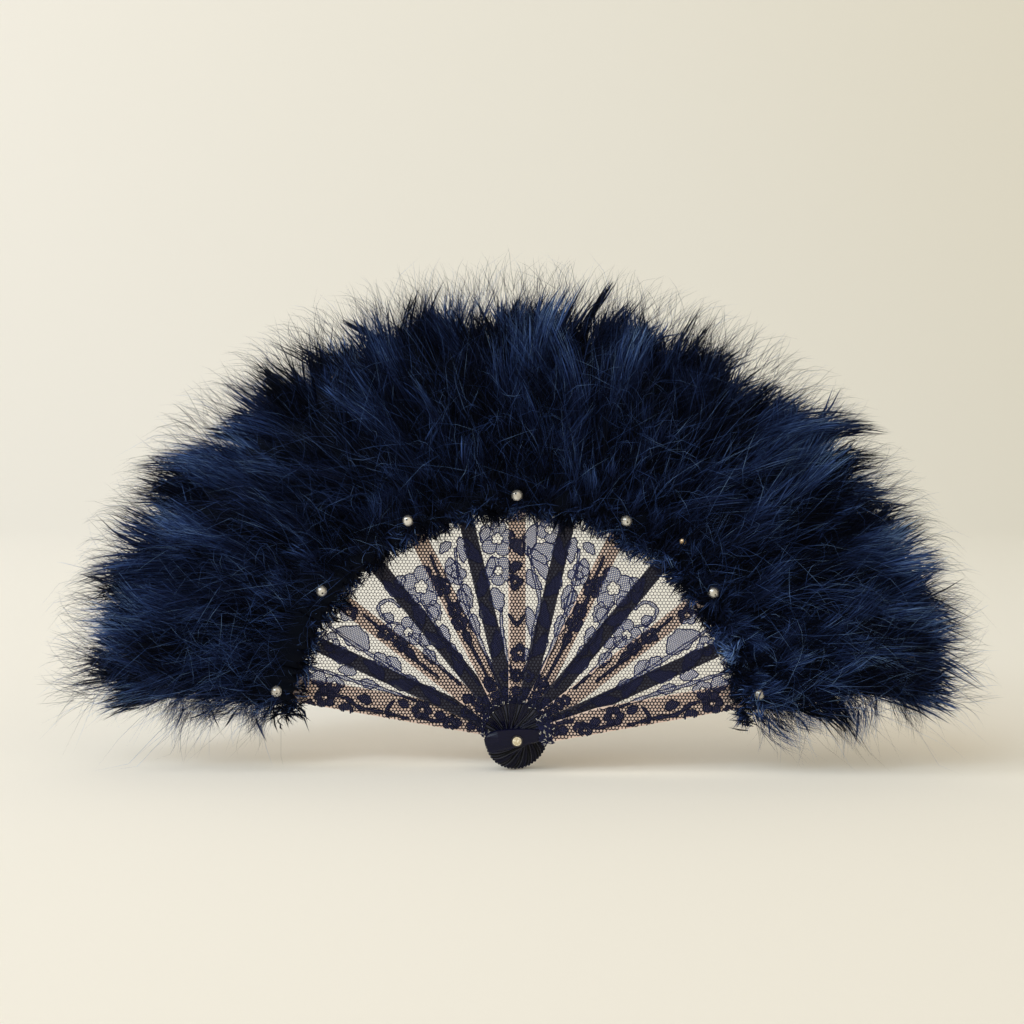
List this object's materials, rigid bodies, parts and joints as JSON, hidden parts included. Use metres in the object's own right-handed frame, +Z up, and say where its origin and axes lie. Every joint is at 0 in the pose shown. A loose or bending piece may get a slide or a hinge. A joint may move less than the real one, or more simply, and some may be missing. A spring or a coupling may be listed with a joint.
{
  "type": "feather fan",
  "caption": "Folding hand fan: flat sticks turn on one jewelled rivet and carry a flower lace leaf, pearl beads and a deep band of navy feathers.",
  "frame": {"origin": "middle of the rivet's axis, in the middle layer of sticks, where a hand holds the closed head", "axes": "+X to the right of the open fan seen from its front, +Y to its back along the rivet, +Z up along the middle stick"},
  "size_m": [0.4862, 0.0374, 0.261],
  "materials": {
    "navy_gorge": "gloss",
    "dark_stick": "satin",
    "tan_slip": "satin",
    "lace": "matte",
    "feather": "matte",
    "pearl": "gloss",
    "gold_bead": "gloss",
    "crystal": "polished",
    "rivet_metal": "satin"
  },
  "bodies": {
    "rear_guard": {"rear_guard_gorge": "navy_gorge", "rear_guard_slip": "tan_slip", "lace_01": "lace", "plume_01": "feather", "pearl_01": "pearl", "rivet_pin": "rivet_metal", "rivet_front_washer": "rivet_metal", "rivet_rear_washer": "rivet_metal", "rivet_crystal": "crystal"},
    "stick_02": {"dark_stick_02": "dark_stick", "lace_02": "lace", "plume_02": "feather"},
    "stick_03": {"gorge_03": "navy_gorge", "slip_03": "tan_slip", "lace_03": "lace", "plume_03": "feather", "pearl_03": "pearl"},
    "stick_04": {"dark_stick_04": "dark_stick", "lace_04": "lace", "plume_04": "feather"},
    "stick_05": {"gorge_05": "navy_gorge", "slip_05": "tan_slip", "lace_05": "lace", "plume_05": "feather", "pearl_05": "pearl"},
    "stick_06": {"dark_stick_06": "dark_stick", "lace_06": "lace", "plume_06": "feather"},
    "stick_07": {"gorge_07": "navy_gorge", "slip_07": "tan_slip", "lace_07": "lace", "plume_07": "feather", "pearl_07": "pearl"},
    "stick_08": {"dark_stick_08": "dark_stick", "lace_08": "lace", "plume_08": "feather"},
    "stick_09": {"gorge_09": "navy_gorge", "slip_09": "tan_slip", "lace_09": "lace", "plume_09": "feather", "pearl_09": "pearl"},
    "stick_10": {"dark_stick_10": "dark_stick", "lace_10": "lace", "plume_10": "feather", "gold_bead_10": "gold_bead"},
    "stick_11": {"gorge_11": "navy_gorge", "slip_11": "tan_slip", "lace_11": "lace", "plume_11": "feather", "pearl_11": "pearl"},
    "stick_12": {"dark_stick_12": "dark_stick", "lace_12": "lace", "plume_12": "feather"},
    "front_guard": {"front_guard_gorge": "navy_gorge", "front_guard_slip": "tan_slip", "lace_13": "lace", "plume_13": "feather", "pearl_13": "pearl"}
  },
  "joints": [
    {"name": "fold_02", "type": "hinge", "parent": "rear_guard", "child": "stick_02", "pos_m": [0, 0, 0], "axis": [0, -1, 0], "range_deg": [0, 11.7], "deforming": ["lace_01", "plume_01"]},
    {"name": "fold_03", "type": "hinge", "parent": "stick_02", "child": "stick_03", "pos_m": [0, 0, 0], "axis": [0, -1, 0], "range_deg": [0, 11.7], "deforming": ["lace_02", "plume_02"]},
    {"name": "fold_04", "type": "hinge", "parent": "stick_03", "child": "stick_04", "pos_m": [0, 0, 0], "axis": [0, -1, 0], "range_deg": [0, 11.7], "deforming": ["lace_03", "plume_03"]},
    {"name": "fold_05", "type": "hinge", "parent": "stick_04", "child": "stick_05", "pos_m": [0, 0, 0], "axis": [0, -1, 0], "range_deg": [0, 11.7], "deforming": ["lace_04", "plume_04"]},
    {"name": "fold_06", "type": "hinge", "parent": "stick_05", "child": "stick_06", "pos_m": [0, 0, 0], "axis": [0, -1, 0], "range_deg": [0, 11.7], "deforming": ["lace_05", "plume_05"]},
    {"name": "fold_07", "type": "hinge", "parent": "stick_06", "child": "stick_07", "pos_m": [0, 0, 0], "axis": [0, -1, 0], "range_deg": [0, 11.7], "deforming": ["lace_06", "plume_06"]},
    {"name": "fold_08", "type": "hinge", "parent": "stick_07", "child": "stick_08", "pos_m": [0, 0, 0], "axis": [0, -1, 0], "range_deg": [0, 11.7], "deforming": ["lace_07", "plume_07"]},
    {"name": "fold_09", "type": "hinge", "parent": "stick_08", "child": "stick_09", "pos_m": [0, 0, 0], "axis": [0, -1, 0], "range_deg": [0, 11.7], "deforming": ["lace_08", "plume_08"]},
    {"name": "fold_10", "type": "hinge", "parent": "stick_09", "child": "stick_10", "pos_m": [0, 0, 0], "axis": [0, -1, 0], "range_deg": [0, 11.7], "deforming": ["lace_09", "plume_09"]},
    {"name": "fold_11", "type": "hinge", "parent": "stick_10", "child": "stick_11", "pos_m": [0, 0, 0], "axis": [0, -1, 0], "range_deg": [0, 11.7], "deforming": ["lace_10", "plume_10"]},
    {"name": "fold_12", "type": "hinge", "parent": "stick_11", "child": "stick_12", "pos_m": [0, 0, 0], "axis": [0, -1, 0], "range_deg": [0, 11.7], "deforming": ["lace_11", "plume_11"]},
    {"name": "fold_13", "type": "hinge", "parent": "stick_12", "child": "front_guard", "pos_m": [0, 0, 0], "axis": [0, -1, 0], "range_deg": [0, 11.7], "deforming": ["lace_12", "plume_12", "plume_13"]}
  ],
  "couplings": [
    {"joint": "fold_03", "follows": "fold_02", "ratio": 1},
    {"joint": "fold_04", "follows": "fold_02", "ratio": 1},
    {"joint": "fold_05", "follows": "fold_02", "ratio": 1},
    {"joint": "fold_06", "follows": "fold_02", "ratio": 1},
    {"joint": "fold_07", "follows": "fold_02", "ratio": 1},
    {"joint": "fold_08", "follows": "fold_02", "ratio": 1},
    {"joint": "fold_09", "follows": "fold_02", "ratio": 1},
    {"joint": "fold_10", "follows": "fold_02", "ratio": 1},
    {"joint": "fold_11", "follows": "fold_02", "ratio": 1},
    {"joint": "fold_12", "follows": "fold_02", "ratio": 1},
    {"joint": "fold_13", "follows": "fold_02", "ratio": 1}
  ]
}
